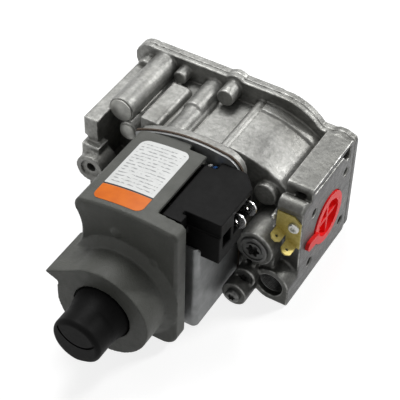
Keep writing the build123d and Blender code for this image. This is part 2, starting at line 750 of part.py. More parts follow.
# ------------------------------------------------------------------ head cover
cover_back_y = plate_y
cover_left = head_x - head_half
cover_right = head_x + head_half - 0.6
roof_right = head_x + 13.5      # the roof stops here, beside the terminal block


def cover_outline(inset):
    """Front view of the cover: crowned roof, waisted left side, round corners."""
    left = cover_left + inset
    right = cover_right - inset
    top = cover_top_z - inset
    low = base_z + inset
    big = 8.0 - inset
    edges = Polyline((left, 10.0), (left, low + big))
    edges += ThreePointArc((left, low + big), (left + big * 0.293, low + big * 0.293), (left + big, low))
    edges += Line((left + big, low), (right - big, low))
    edges += ThreePointArc((right - big, low), (right - big * 0.293, low + big * 0.293), (right, low + big))
    edges += Line((right, low + big), (right, top - 4.0))
    edges += ThreePointArc((right, top - 4.0), (right - 1.3, top - 1.6), (right - 4.4, top - 0.7))
    edges += ThreePointArc((right - 4.4, top - 0.7), (head_x - 3.0, top), (left + 7.0, top - 3.2))
    edges += ThreePointArc((left + 7.0, top - 3.2), (left + 3.0, top - 5.2), (left + 1.6, top - 9.0))
    edges += ThreePointArc((left + 1.6, top - 9.0), (left + 5.4, 27.0), (left, 10.0))
    return make_face(edges)


def wing_outline(tip_x):
    """Flat wing from the collar's top to its left tip, which stands out past the cover's side."""
    r = collar_r
    lean = math.radians(120)
    touch = (head_x + 0.99 * r * math.cos(lean), knob_z + 0.99 * r * math.sin(lean))
    drop = (touch[0] - tip_x) * math.tan(math.radians(30))
    return polygon([
        touch, (tip_x, touch[1] - drop), (tip_x + 7.0, touch[1] - drop - 3.0),
        (head_x - r * 0.9, knob_z + 2.0), (head_x, knob_z),
    ])


def collar():
    """The collar's round wall and its wing, which runs back and into the cover's left side."""
    wing = extrude_y(wing_outline(cover_left - 2.5), collar_y, cover_y + 10.0)
    return wing + rod_y(head_x, knob_z, collar_r, collar_y, cover_y + 0.5)


def head_cover():
    shell = extrude_y(cover_outline(0), cover_y + 1.2, cover_back_y)
    sections = [Plane.XZ.offset(-cover_y - 1.2) * cover_outline(0), Plane.XZ.offset(-cover_y) * cover_outline(1.2)]
    shell += loft(sections)
    shell -= extrude_y(cover_outline(shell_t), cover_y + shell_t, cover_back_y + 1)
    # behind the front lip the right side is open, and so is the roof beside the block
    shell -= box(roof_right, cover_right + 5, lip_y, cover_back_y + 1, base_z + shell_t, cover_top_z + 5)
    shell -= box(frame_right - 8, cover_right + 5, lip_y, cover_back_y + 1, base_z - 1, base_z + shell_t + 1)
    # wires pass through a notch at the back of the roof
    shell -= box(roof_right - 10.0, roof_right + 1, cover_back_y - 3.6, cover_back_y + 1, 40.0, cover_top_z + 5)
    flare = cone_y(head_x, knob_z, collar_r + 5.0, collar_r, cover_y - 3.4, cover_y)
    shell += flare
    shell += collar() - extrude_y(cover_outline(shell_t), cover_y + shell_t, cover_back_y + 1)
    for x, z in ((head_x - 4.0, 34.7), (head_x + 16.5, 24.8)):
        shell += dome_y(x, z, 3.2, 0.9, cover_y)
    shell -= rod_y(head_x, knob_z, collar_r - shell_t, collar_y + shell_t, cover_y + shell_t + 1)
    return shell - rod_y(head_x, knob_z, knob_r + knob_gap, collar_y - 1, collar_y + shell_t + 1)


label_t = 0.15
label_left = head_x - 20.6
label_right = head_x + 7.0
label_back_y = plate_y - 7.0
label_front_y = cover_y + 4.0


def cover_label():
    """A thin sticker that follows the crowned roof."""
    skin = extrude_y(cover_outline(-label_t), label_front_y, label_back_y)
    skin -= extrude_y(cover_outline(0), label_front_y - 1, label_back_y + 1)
    corners = Pos((label_left + label_right) / 2, (label_front_y + label_back_y) / 2)
    window = Rectangle(label_right - label_left, label_back_y - label_front_y)
    window = fillet(window.vertices(), 4.0)
    return skin & extrude(Plane.XY.offset(30) * corners * window, amount=30)


write("head_cover", head_cover())
write("cover_label", cover_label())

# -------------------------------------------------------------- terminal block
block_left = roof_right + 0.6
block_right = face_to_face - 21.4
block_front_y = -77.0
block_top = cover_top_z - 2.8
block_base = frame_top_z
slab_t = 8.0            # the block's front is stepped this far below its top


terminal_z = block_top - 9.6
terminal_ys = (block_front_y + 17.0, block_front_y + 27.4)
socket_depth = 12.0
# each socket's two ends along Y, its floor and its roof
sockets = [
    (block_front_y + 3.4, block_front_y + 11.0, block_base + 4.0, block_top - 8.4),
    (terminal_ys[0] - 3.4, terminal_ys[1] + 2.4, terminal_z - 6.4, terminal_z + 6.4),
]


def terminal_block():
    block = box(block_left, block_right, block_front_y, plate_y - 0.6, block_base, block_top)
    block += box(frame_right + 0.8, block_right, block_front_y, block_front_y + 22.0,
                 block_base - 3.4, block_base + 1)
    block += box(block_left, block_left + 10.5, lip_y + 2.6, block_front_y + 1, block_top - 12.0, block_top)
    # cut corner at the back, hollow under the top slab, and two sockets at the side
    notch = polygon([
        (block_right - 8.0, plate_y), (block_right + 1, plate_y), (block_right + 1, plate_y - 10.0),
    ])
    block -= extrude(Plane.XY.offset(block_base - 1) * notch, amount=block_top - block_base + 2)
    for y0, y1, z0, z1 in sockets:
        block -= box(block_right - socket_depth, block_right + 1, y0, y1, z0, z1)
    block -= box(block_left - 1, block_right + 1, block_front_y - 4, block_front_y + 1.2,
                 block_top - slab_t, block_top - slab_t + 1.0)
    block -= box(block_left + 8.0, block_right + 1, block_front_y - 1, block_front_y + 1.2,
                 block_top - slab_t, block_top + 1)
    return block - box(block_left - 1, block_left + 6.4, plate_y - 6.0, plate_y, block_base - 1, block_top + 1)


def quick_terminals():
    """Two round-ended blades that stand out of the block towards the outlet."""
    blades = []
    for y in terminal_ys:
        blade = box(block_right - socket_depth, block_right + 4.4, y - 0.4, y + 0.4, terminal_z - 4.6, terminal_z + 4.6)
        blade = fillet(blade.edges().filter_by(Axis.Y).group_by(Axis.X)[-1], 4.2)
        blades.append(blade - rod_y(block_right + 0.2, terminal_z, 1.0, y - 1, y + 1))
    return blades


write("terminal_block", terminal_block())
write("quick_terminals", quick_terminals())

# ------------------------------------------------------------------- coil leads
lead_r = 0.8


def coil_lead(x):
    """A short insulated lead from the right-hand winding up the notch in the block."""
    coil_x, coil_axis_z = coil_axes()[1]
    winding_r = coil_r - 0.8
    start_z = coil_axis_z + math.sqrt(winding_r ** 2 - (x - coil_x) ** 2) + 0.2
    y = plate_y - 2.6
    path = FilletPolyline((x, y, start_z), (x, y, block_top - 3.0), (x, y - 2.2, block_top - 1.4), radius=1.0)
    section = Plane(origin=path @ 0, z_dir=path % 0) * Circle(lead_r)
    return sweep(section, path=path)


write("coil_lead_white", coil_lead(block_left + 1.6))
write("coil_lead_blue", coil_lead(block_left + 4.4))
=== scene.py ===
import json
import math

import bmesh
import bpy
import numpy as np
from mathutils import Matrix, Vector
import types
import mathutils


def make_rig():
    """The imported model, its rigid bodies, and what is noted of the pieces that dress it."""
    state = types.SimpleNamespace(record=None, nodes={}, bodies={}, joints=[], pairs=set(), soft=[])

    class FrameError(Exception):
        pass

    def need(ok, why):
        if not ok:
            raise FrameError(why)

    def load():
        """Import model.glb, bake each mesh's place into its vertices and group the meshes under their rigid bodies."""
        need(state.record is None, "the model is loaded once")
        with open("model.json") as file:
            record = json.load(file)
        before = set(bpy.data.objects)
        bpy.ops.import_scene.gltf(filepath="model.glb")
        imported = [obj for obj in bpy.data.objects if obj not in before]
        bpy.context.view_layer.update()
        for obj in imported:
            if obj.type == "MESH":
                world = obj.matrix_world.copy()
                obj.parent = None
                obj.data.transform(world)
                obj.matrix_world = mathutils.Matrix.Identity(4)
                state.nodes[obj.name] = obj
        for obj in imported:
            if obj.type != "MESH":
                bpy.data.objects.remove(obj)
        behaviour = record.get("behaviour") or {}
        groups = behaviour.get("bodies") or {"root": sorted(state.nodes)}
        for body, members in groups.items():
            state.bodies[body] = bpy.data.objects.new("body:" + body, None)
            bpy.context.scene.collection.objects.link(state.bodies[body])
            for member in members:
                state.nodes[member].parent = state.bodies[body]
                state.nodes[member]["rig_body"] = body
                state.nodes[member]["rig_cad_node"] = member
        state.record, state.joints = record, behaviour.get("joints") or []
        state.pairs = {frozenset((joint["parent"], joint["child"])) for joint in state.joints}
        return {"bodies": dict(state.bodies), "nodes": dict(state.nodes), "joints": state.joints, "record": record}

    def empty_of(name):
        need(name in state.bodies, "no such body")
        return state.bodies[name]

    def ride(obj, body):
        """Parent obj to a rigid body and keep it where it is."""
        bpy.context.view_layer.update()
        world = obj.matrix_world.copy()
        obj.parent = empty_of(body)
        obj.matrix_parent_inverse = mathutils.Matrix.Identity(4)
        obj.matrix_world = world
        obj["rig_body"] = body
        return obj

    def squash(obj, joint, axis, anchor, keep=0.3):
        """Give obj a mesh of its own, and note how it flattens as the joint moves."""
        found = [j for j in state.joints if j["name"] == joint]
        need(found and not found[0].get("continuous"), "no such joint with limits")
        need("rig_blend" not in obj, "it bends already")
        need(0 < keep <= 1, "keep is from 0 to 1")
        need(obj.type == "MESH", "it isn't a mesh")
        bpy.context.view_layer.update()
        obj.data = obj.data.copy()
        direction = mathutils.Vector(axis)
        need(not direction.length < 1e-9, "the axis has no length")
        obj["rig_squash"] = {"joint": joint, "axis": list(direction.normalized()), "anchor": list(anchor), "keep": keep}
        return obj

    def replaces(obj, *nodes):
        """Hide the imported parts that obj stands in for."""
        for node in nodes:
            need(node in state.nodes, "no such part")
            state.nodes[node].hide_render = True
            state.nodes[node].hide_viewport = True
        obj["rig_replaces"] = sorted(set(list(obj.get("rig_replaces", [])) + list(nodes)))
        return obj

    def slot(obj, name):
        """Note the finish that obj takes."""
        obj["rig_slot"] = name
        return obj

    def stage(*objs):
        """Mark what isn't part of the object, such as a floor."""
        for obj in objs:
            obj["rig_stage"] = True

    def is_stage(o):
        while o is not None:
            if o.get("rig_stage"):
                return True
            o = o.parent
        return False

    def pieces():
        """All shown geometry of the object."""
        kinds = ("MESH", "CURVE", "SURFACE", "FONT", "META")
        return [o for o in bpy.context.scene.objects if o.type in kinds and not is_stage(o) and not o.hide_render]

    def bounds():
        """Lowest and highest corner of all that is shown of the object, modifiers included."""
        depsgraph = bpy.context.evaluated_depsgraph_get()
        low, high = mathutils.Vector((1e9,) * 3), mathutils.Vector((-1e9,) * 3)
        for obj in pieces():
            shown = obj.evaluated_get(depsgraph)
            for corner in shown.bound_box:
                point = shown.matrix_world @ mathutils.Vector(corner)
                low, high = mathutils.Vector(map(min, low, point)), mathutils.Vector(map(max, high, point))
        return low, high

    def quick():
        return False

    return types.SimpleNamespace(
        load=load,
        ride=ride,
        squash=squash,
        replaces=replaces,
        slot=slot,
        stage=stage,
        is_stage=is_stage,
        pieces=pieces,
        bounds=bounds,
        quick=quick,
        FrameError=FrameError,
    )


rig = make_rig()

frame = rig.load()
nodes = frame["nodes"]
cad_box = [list(corner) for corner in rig.bounds()]

# ------------------------------------------------------------------ camera
# A long lens looks down on the front right of the valve, so that the head,
# the terminals and the outlet face all show.
turn, tilt, roll = (math.radians(angle) for angle in (29.5, 44.6, 1.7))
back = Vector((math.sin(turn) * math.cos(tilt), -math.cos(turn) * math.cos(tilt), math.sin(tilt)))
right = Vector((math.cos(turn), math.sin(turn), 0))
up = back.cross(right)
lens = bpy.data.cameras.new("camera")
lens.sensor_width = 36
lens.lens = 119.7
lens.clip_start = 0.05
camera = bpy.data.objects.new("camera", lens)
camera_place = (0.30853, -0.45558, 0.48870)
axes = Matrix((
    math.cos(roll) * right + math.sin(roll) * up,
    math.cos(roll) * up - math.sin(roll) * right,
    back,
)).transposed()
camera.matrix_world = Matrix.Translation(camera_place) @ axes.to_4x4()
bpy.context.collection.objects.link(camera)
bpy.context.scene.camera = camera

# ------------------------------------------------------- table and studio light
# A sheet of card carries the valve. A large soft lamp hangs above and behind its left
# side, a small one behind its right side catches the edges, and a weak one fills in from
# the front left. Seen directly, the card and the walls look white.
card_z = cad_box[0][2]
card_half = 3
card_grey = 0.34
card_glow = 0.82        # added where the card is seen directly
wall_light = 0.17       # what the walls shed on the valve
wall_white = 1.0        # what is seen of them directly
corners = [(x * card_half, y * card_half, card_z) for x, y in ((-1, -1), (1, -1), (1, 1), (-1, 1))]
card = bpy.data.meshes.new("card")
card.from_pydata(corners, [], [(0, 1, 2, 3)])
floor = bpy.data.objects.new("card", card)
bpy.context.collection.objects.link(floor)
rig.stage(floor)


def seen_directly(tree):
    """1 for rays that meet the backdrop straight from the camera, a mirror or glass."""
    rays = tree.nodes.new("ShaderNodeLightPath")
    total = rays.outputs["Is Camera Ray"]
    for kind in ("Is Glossy Ray", "Is Transmission Ray"):
        larger = tree.nodes.new("ShaderNodeMath")
        larger.operation = "MAXIMUM"
        tree.links.new(total, larger.inputs[0])
        tree.links.new(rays.outputs[kind], larger.inputs[1])
        total = larger.outputs[0]
    return total


def scaled(tree, value, low, high):
    """value from 0..1 moved to low..high."""
    span = tree.nodes.new("ShaderNodeMapRange")
    span.inputs["To Min"].default_value = low
    span.inputs["To Max"].default_value = high
    tree.links.new(value, span.inputs["Value"])
    return span.outputs["Result"]


white_card = bpy.data.materials.new("white_card")
white_card.use_nodes = True
tree = white_card.node_tree
tree.nodes.clear()
matte = tree.nodes.new("ShaderNodeBsdfDiffuse")
matte.inputs["Color"].default_value = (card_grey, card_grey, card_grey, 1)
glow = tree.nodes.new("ShaderNodeEmission")
tree.links.new(scaled(tree, seen_directly(tree), 0.0, card_glow), glow.inputs["Strength"])
both = tree.nodes.new("ShaderNodeAddShader")
output = tree.nodes.new("ShaderNodeOutputMaterial")
tree.links.new(matte.outputs[0], both.inputs[0])
tree.links.new(glow.outputs[0], both.inputs[1])
tree.links.new(both.outputs[0], output.inputs["Surface"])
card.materials.append(white_card)

walls = bpy.data.worlds.new("walls")
walls.use_nodes = True
tree = walls.node_tree
sky = tree.nodes["Background"]
sky.inputs["Color"].default_value = (1, 1, 1, 1)
tree.links.new(scaled(tree, seen_directly(tree), wall_light, wall_white), sky.inputs["Strength"])
bpy.context.scene.world = walls
bpy.context.scene.view_settings.view_transform = "Standard"


def lamp(name, place, target, size, power):
    """A square soft lamp at place that faces target."""
    light = bpy.data.lights.new(name, "AREA")
    light.size = size
    light.energy = power
    holder = bpy.data.objects.new(name, light)
    aim = (Vector(target) - Vector(place)).to_track_quat("-Z", "Y")
    holder.matrix_world = Matrix.Translation(place) @ aim.to_matrix().to_4x4()
    bpy.context.collection.objects.link(holder)


lamp("lamp_above", (-0.30, 0.40, 1.15), (0.06, -0.03, 0), 0.5, 11.0)
lamp("lamp_front", (-0.8, -0.9, 0.9), (0.06, -0.05, 0), 0.5, 1.5)
lamp("lamp_back", (0.72, 0.85, 0.78), (0.104, -0.01, 0.03), 0.22, 9.0)

# --------------------------------------------------------------- valve body
# The body is a pressure die casting in aluminium, with soft corners, a fine
# grain, and a few faces milled flat. All the other pieces are fixed to it.


def finish(name, metallic, roughness, specular=0.5):
    """Starts a material. Gives it, its node tree, its shader and the piece's coordinates."""
    material = bpy.data.materials.new(name)
    material.use_nodes = True
    tree = material.node_tree
    shader = tree.nodes["Principled BSDF"]
    shader.inputs["Metallic"].default_value = metallic
    shader.inputs["Roughness"].default_value = roughness
    shader.inputs["Specular IOR Level"].default_value = specular
    place = tree.nodes.new("ShaderNodeTexCoord")
    return material, tree, shader, place.outputs["Object"]


def mottle(tree, place, scale, detail=2.0, stretch=(1, 1, 1)):
    """Cloudy noise, scale in blobs per metre."""
    turned = tree.nodes.new("ShaderNodeMapping")
    turned.inputs["Scale"].default_value = stretch
    noise = tree.nodes.new("ShaderNodeTexNoise")
    noise.inputs["Scale"].default_value = scale
    noise.inputs["Detail"].default_value = detail
    tree.links.new(place, turned.inputs["Vector"])
    tree.links.new(turned.outputs[0], noise.inputs["Vector"])
    return noise.outputs["Fac"]


def shades(tree, value, *stops):
    """Colours from a value. Each stop is (position, red, green, blue)."""
    ramp = tree.nodes.new("ShaderNodeValToRGB")
    points = ramp.color_ramp.elements
    while len(points) < len(stops):
        points.new(0.5)
    for point, (position, *colour) in zip(points, stops):
        point.position = position
        point.color = (*colour, 1)
    tree.links.new(value, ramp.inputs["Fac"])
    return ramp.outputs["Color"]


def coloured(tree, shader, value, dark, light, low=0.3, high=0.7):
    """Sets the base colour: dark where the value is below low, light where it is above high."""
    tree.links.new(shades(tree, value, (low, *dark), (high, *light)), shader.inputs["Base Color"])


def roughened(tree, shader, value, smoothest, roughest):
    """Sets the roughness from a value in 0..1."""
    tree.links.new(scaled(tree, value, smoothest, roughest), shader.inputs["Roughness"])


def relief(tree, shader, height, depth, under=None):
    """Adds bump of that depth in metres, on top of an earlier bump."""
    bump = tree.nodes.new("ShaderNodeBump")
    bump.inputs["Strength"].default_value = 1.0
    bump.inputs["Distance"].default_value = depth
    tree.links.new(height, bump.inputs["Height"])
    if under:
        tree.links.new(under, bump.inputs["Normal"])
    tree.links.new(bump.outputs[0], shader.inputs["Normal"])
    return bump.outputs[0]


def merged(name, *names):
    """One mesh from copies of CAD nodes, with their loose triangles joined."""
    shape = bmesh.new()
    for node in names:
        shape.from_mesh(nodes[node].data)
    bmesh.ops.remove_doubles(shape, verts=shape.verts, dist=1e-6)
    mesh = bpy.data.meshes.new(name)
    shape.to_mesh(mesh)
    shape.free()
    mesh.materials.clear()
    piece = bpy.data.objects.new(name, mesh)
    bpy.context.collection.objects.link(piece)
    return piece


def softened(piece, voxel, passes, triangles):
    """Rounds every edge as a mould or die leaves it, and thins the mesh."""
    mesh = piece.data
    remesh = piece.modifiers.new("remesh", "REMESH")
    remesh.mode = "VOXEL"
    remesh.voxel_size = voxel
    smooth = piece.modifiers.new("smooth", "SMOOTH")
    smooth.factor = 0.5
    smooth.iterations = passes
    depsgraph = bpy.context.evaluated_depsgraph_get()
    dense = bpy.data.meshes.new_from_object(piece.evaluated_get(depsgraph))
    piece.modifiers.clear()
    piece.data = dense
    count = sum(len(face.vertices) - 2 for face in dense.polygons)
    if count > triangles:
        thin = piece.modifiers.new("thin", "DECIMATE")
        thin.ratio = triangles / count
        depsgraph = bpy.context.evaluated_depsgraph_get()
        light = bpy.data.meshes.new_from_object(piece.evaluated_get(depsgraph))
        piece.modifiers.clear()
        piece.data = light
        bpy.data.meshes.remove(dense)
    bpy.data.meshes.remove(mesh)
    piece.data.name = piece.name
    for face in piece.data.polygons:
        face.use_smooth = True


def convexity(piece, gain=3.0, spread=2):
    """Stores how far each point stands out (1) or lies in a corner (0) as a point attribute named like this function;
    it darkens corners as dirt and painted shade, and brightens edges as wear and painted highlight.
    """
    mesh = piece.data
    count = len(mesh.vertices)
    points = np.empty(count * 3)
    mesh.vertices.foreach_get("co", points)
    points = points.reshape(-1, 3)
    normals = np.empty(count * 3)
    mesh.vertices.foreach_get("normal", normals)
    normals = normals.reshape(-1, 3)
    ends = np.empty(len(mesh.edges) * 2, dtype=np.int64)
    mesh.edges.foreach_get("vertices", ends)
    first, second = ends.reshape(-1, 2).T
    links = np.bincount(first, minlength=count) + np.bincount(second, minlength=count)
    links = np.maximum(links, 1)

    def around(values):
        total = np.bincount(first, weights=values[second], minlength=count)
        return (total + np.bincount(second, weights=values[first], minlength=count)) / links

    pull = np.stack([around(points[:, axis]) for axis in range(3)], axis=1) - points
    reach = np.linalg.norm(points[first] - points[second], axis=1).mean()
    stands_out = -(pull * normals).sum(axis=1) / reach
    for _ in range(spread):
        stands_out = 0.5 * stands_out + 0.5 * around(stands_out)
    layer = mesh.attributes.new("convexity", "FLOAT", "POINT")
    layer.data.foreach_set("value", np.clip(0.5 + gain * stands_out, 0, 1).astype(np.float32))


def attribute(tree, name):
    """A value stored in the mesh."""
    node = tree.nodes.new("ShaderNodeAttribute")
    node.attribute_name = name
    return node.outputs["Fac"]


def math_step(tree, operation, first, second):
    """One math step on two values, each a socket or a number."""
    step = tree.nodes.new("ShaderNodeMath")
    step.operation = operation
    for socket, value in zip(step.inputs, (first, second)):
        if isinstance(value, (int, float)):
            socket.default_value = value
        else:
            tree.links.new(value, socket)
    return step.outputs[0]


def tinted(tree, colour, shade, amount, kind="MULTIPLY"):
    """colour mixed with shade by amount."""
    mix = tree.nodes.new("ShaderNodeMix")
    mix.data_type = "RGBA"
    mix.blend_type = kind
    sockets = [mix.inputs[0], mix.inputs[6], mix.inputs[7]]
    for socket, value in zip(sockets, (amount, colour, shade)):
        if isinstance(value, tuple):
            socket.default_value = (*value, 1)
        elif isinstance(value, (int, float)):
            socket.default_value = value
        else:
            tree.links.new(value, socket)
    return mix.outputs[2]


def along(tree, place, axis):
    """One coordinate of the place, in metres."""
    split = tree.nodes.new("ShaderNodeSeparateXYZ")
    tree.links.new(place, split.inputs[0])
    return split.outputs[axis]


def step_up(tree, value, low, high):
    """0 below low, 1 above high, and a ramp between."""
    span = tree.nodes.new("ShaderNodeMapRange")
    span.inputs["From Min"].default_value = low
    span.inputs["From Max"].default_value = high
    tree.links.new(value, span.inputs["Value"])
    return span.outputs["Result"]


def stands_for(piece, node, material, slot):
    """Gives a finished piece its material and lets it take the place of a CAD node."""
    piece.data.materials.append(material)
    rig.ride(piece, "valve")
    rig.replaces(piece, node)
    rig.slot(piece, slot)


mounts = {mount["name"]: mount for mount in frame["record"]["mounts"]}
outlet_x = mounts["outlet_bolts"]["pos_m"][0]
stain_strength = 0.6
# how strongly the corners are darkened, as dirt and as painted shade
dirt_and_shade_strength = 0.85
polish = 0.14
cast_aluminium, tree, shader, place = finish("cast_aluminium", 0.62, 0.5)
skin = shades(tree, mottle(tree, place, 60, 6), (0.30, 0.19, 0.19, 0.180), (0.72, 0.35, 0.35, 0.332))
speckle = shades(tree, mottle(tree, place, 520, 6), (0.34, 0.70, 0.70, 0.70), (0.66, 1.0, 1.0, 1.0))
skin = tinted(tree, skin, speckle, 1.0)
# the lower parts are coloured darker towards the bottom as painted shade, and the outlet end is darker than the ribs
painted_low_shade = step_up(tree, along(tree, place, 2), 0.022, -0.020)
skin = tinted(tree, skin, (0.34, 0.34, 0.33), painted_low_shade)
outlet_end = step_up(tree, along(tree, place, 0), outlet_x - 0.0155, outlet_x - 0.0125)
skin = tinted(tree, skin, (0.68, 0.68, 0.67), outlet_end)
stains = step_up(tree, mottle(tree, place, 24, 5), 0.52, 0.68)
skin = tinted(tree, skin, (0.50, 0.49, 0.46), math_step(tree, "MULTIPLY", stains, stain_strength))
# the corners are darkened, as dirt and as painted shade, and the edges are brightened, as handling wear and as painted
# highlight
dirt_and_corner_shade = step_up(tree, attribute(tree, "convexity"), 0.47, 0.25)
skin = tinted(tree, skin, (0.26, 0.25, 0.22), math_step(tree, "MULTIPLY", dirt_and_corner_shade, dirt_and_shade_strength))
edges = step_up(tree, attribute(tree, "convexity"), 0.58, 0.86)
wear_and_highlight = math_step(tree, "MULTIPLY", edges, step_up(tree, mottle(tree, place, 240, 4), 0.35, 0.6))
skin = tinted(tree, skin, (0.72, 0.72, 0.69), wear_and_highlight, "MIX")
# the outlet end is milled flat across, which leaves fine lines from front to back; the milled face is also coloured
# much darker than the casting as painted shade
milled_and_shaded = step_up(tree, along(tree, place, 0), outlet_x - 0.00028, outlet_x - 0.00010)
cutter = mottle(tree, place, 900, 2, (1, 0.05, 1))
face = shades(tree, cutter, (0.3, 0.062, 0.062, 0.062), (0.7, 0.118, 0.118, 0.115))
tree.links.new(tinted(tree, skin, face, milled_and_shaded, "MIX"), shader.inputs["Base Color"])
rough = scaled(tree, mottle(tree, place, 320, 5), 0.26, 0.60)
rough = math_step(tree, "SUBTRACT", rough, math_step(tree, "MULTIPLY", wear_and_highlight, polish))
tree.links.new(rough, shader.inputs["Roughness"])
coarse = relief(tree, shader, mottle(tree, place, 300, 4), 0.00020)
lines = relief(tree, shader, math_step(tree, "MULTIPLY", cutter, milled_and_shaded), 0.00006, coarse)
relief(tree, shader, mottle(tree, place, 2000, 3), 0.00013, lines)

casting = merged("casting", "valve_body")
softened(casting, voxel=0.0010 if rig.quick() else 0.00055, passes=3, triangles=195000)
convexity(casting)
stands_for(casting, "valve_body", cast_aluminium, "cast_aluminium")

# ------------------------------------------------------- threads of the bores
# Both pipe ports and the small tap in the front boss are cut with a thread. Each
# is drawn as one round ridge wound along the wall of its bore.


def socket_named(group, name):
    """The identifier of a group's named input."""
    return next(item.identifier for item in group.interface.items_tree
                if item.item_type == "SOCKET" and item.in_out == "INPUT" and item.name == name)


def helix_group():
    """Geometry nodes: a round wire wound along +Z from the origin."""
    group = bpy.data.node_groups.new("wound_wire", "GeometryNodeTree")
    for name, kind in (("Radius", "Float"), ("Pitch", "Float"), ("Turns", "Float"), ("Wire", "Float"),
                       ("Steps", "Int"), ("Material", "Material")):
        group.interface.new_socket(name, in_out="INPUT", socket_type="NodeSocket" + kind)
    group.interface.new_socket("Geometry", in_out="OUTPUT", socket_type="NodeSocketGeometry")
    sizes = group.nodes.new("NodeGroupInput").outputs
    length = group.nodes.new("ShaderNodeMath")
    length.operation = "MULTIPLY"
    spiral = group.nodes.new("GeometryNodeCurveSpiral")
    section = group.nodes.new("GeometryNodeCurvePrimitiveCircle")
    section.inputs["Resolution"].default_value = 6
    tube = group.nodes.new("GeometryNodeCurveToMesh")
    tube.inputs["Fill Caps"].default_value = True
    plain = group.nodes.new("GeometryNodeRealizeInstances")
    skin = group.nodes.new("GeometryNodeSetMaterial")
    result = group.nodes.new("NodeGroupOutput")
    for start, end in (
        (sizes["Pitch"], length.inputs[0]), (sizes["Turns"], length.inputs[1]),
        (length.outputs[0], spiral.inputs["Height"]), (sizes["Turns"], spiral.inputs["Rotations"]),
        (sizes["Radius"], spiral.inputs["Start Radius"]), (sizes["Radius"], spiral.inputs["End Radius"]),
        (sizes["Steps"], spiral.inputs["Resolution"]), (sizes["Wire"], section.inputs["Radius"]),
        (spiral.outputs[0], tube.inputs["Curve"]), (section.outputs[0], tube.inputs["Profile Curve"]),
        (tube.outputs[0], plain.inputs[0]), (plain.outputs[0], skin.inputs["Geometry"]),
        (sizes["Material"], skin.inputs["Material"]), (skin.outputs[0], result.inputs[0]),
    ):
        group.links.new(start, end)
    return group


def wound(group, name, material, place, **sizes):
    """A helix of those sizes as a plain mesh, moved from the origin by place."""
    piece = bpy.data.objects.new(name, bpy.data.meshes.new(name))
    bpy.context.collection.objects.link(piece)
    maker = piece.modifiers.new("maker", "NODES")
    maker.node_group = group
    maker[socket_named(group, "Material")] = material
    for size, value in sizes.items():
        maker[socket_named(group, size)] = value
    depsgraph = bpy.context.evaluated_depsgraph_get()
    mesh = bpy.data.meshes.new_from_object(piece.evaluated_get(depsgraph))
    piece.modifiers.clear()
    empty = piece.data
    piece.data = mesh
    bpy.data.meshes.remove(empty)
    mesh.name = name
    mesh.transform(place)
    for side in mesh.polygons:
        side.use_smooth = True
    return piece


helix = helix_group()
# the threads are coloured much darker than the casting as painted shade inside the bores
shaded_thread, tree, shader, place = finish("shaded_thread", 0.9, 0.35)
coloured(tree, shader, mottle(tree, place, 700, 3), (0.07, 0.07, 0.068), (0.15, 0.15, 0.145))
roughened(tree, shader, mottle(tree, place, 900, 3), 0.28, 0.45)
along_x = Matrix.Rotation(math.radians(90), 4, "Y")
along_y = Matrix.Rotation(math.radians(-90), 4, "X")
port_r = mounts["inlet_port"]["dims"]["r_mm"] / 1000
port_pitch = 0.001814   # 14 turns an inch
tap_x, tap_mouth, tap_z = mounts["manifold_tap"]["pos_m"]
tap_r = mounts["manifold_tap"]["dims"]["r_mm"] / 1000
tap_pitch = 0.00094     # 27 turns an inch
ridge = 0.40            # radius of the ridge, as a share of the pitch
for name, start, turned, radius, pitch, depth in (
    ("thread_inlet", (0.0008, 0, 0), along_x, port_r, port_pitch, 0.0164),
    ("thread_outlet", (outlet_x - 0.0172, 0, 0), along_x, port_r, port_pitch, 0.0068),
    ("thread_tap", (tap_x, tap_mouth + 0.0030, tap_z), along_y, tap_r, tap_pitch, 0.0106),
):
    place_in_bore = Matrix.Translation(start) @ turned
    thread = wound(helix, name, shaded_thread, place_in_bore, Radius=radius, Pitch=pitch,
                   Turns=depth / pitch, Wire=ridge * pitch, Steps=48)
    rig.ride(thread, "valve")
    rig.replaces(thread, "valve_body")
    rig.slot(thread, "cast_aluminium")

# ------------------------------------------------------------ diaphragm cover
# A flat die-cast cover with a low dome for the spring closes the back. Seven
# screws clamp it and the edge of the diaphragm to the body.
back_plate = merged("back_plate", "back_cover")
softened(back_plate, voxel=0.0009 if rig.quick() else 0.0005, passes=3, triangles=90000)
convexity(back_plate)
stands_for(back_plate, "back_cover", cast_aluminium, "cover_aluminium")

# --------------------------------------------------------------------- screws
# The screws of the diaphragm cover, the mounting plate and the ground bracket are
# zinc-plated steel. The foot screw and the trim screw are blackened.


def dress(material, *names):
    """Gives CAD nodes a material in place of the plain packed one."""
    for name in names:
        piece = nodes[name]
        if not piece.material_slots:
            piece.data.materials.append(material)
        for holder in piece.material_slots:
            holder.material = material


zinc, tree, shader, place = finish("zinc_plate", 0.9, 0.32)
coloured(tree, shader, mottle(tree, place, 300, 4), (0.42, 0.43, 0.42), (0.62, 0.62, 0.58))
roughened(tree, shader, mottle(tree, place, 900, 3), 0.22, 0.45)
relief(tree, shader, mottle(tree, place, 3000, 2), 0.00002)
dress(zinc, "back_cover_screws", "ground_screw", "mounting_screws")

blackened, tree, shader, place = finish("blackened_steel", 0.8, 0.45)
coloured(tree, shader, mottle(tree, place, 400, 4), (0.060, 0.060, 0.058), (0.17, 0.17, 0.165))
roughened(tree, shader, mottle(tree, place, 900, 3), 0.3, 0.5)
dress(blackened, "foot_screw", "trim_screw")

# --------------------------------------------------------------------- rubber
# The diaphragm, the valve seals and the ring on the shaft are moulded in black
# rubber with a dull skin.
rubber, tree, shader, place = finish("black_rubber", 0.0, 0.7)
coloured(tree, shader, mottle(tree, place, 500, 3), (0.012, 0.012, 0.012), (0.03, 0.03, 0.03))
relief(tree, shader, mottle(tree, place, 3000, 2), 0.00003)
dress(rubber, "main_diaphragm", "main_valve_disc", "plunger_seal_1", "plunger_seal_2", "shaft_seal")

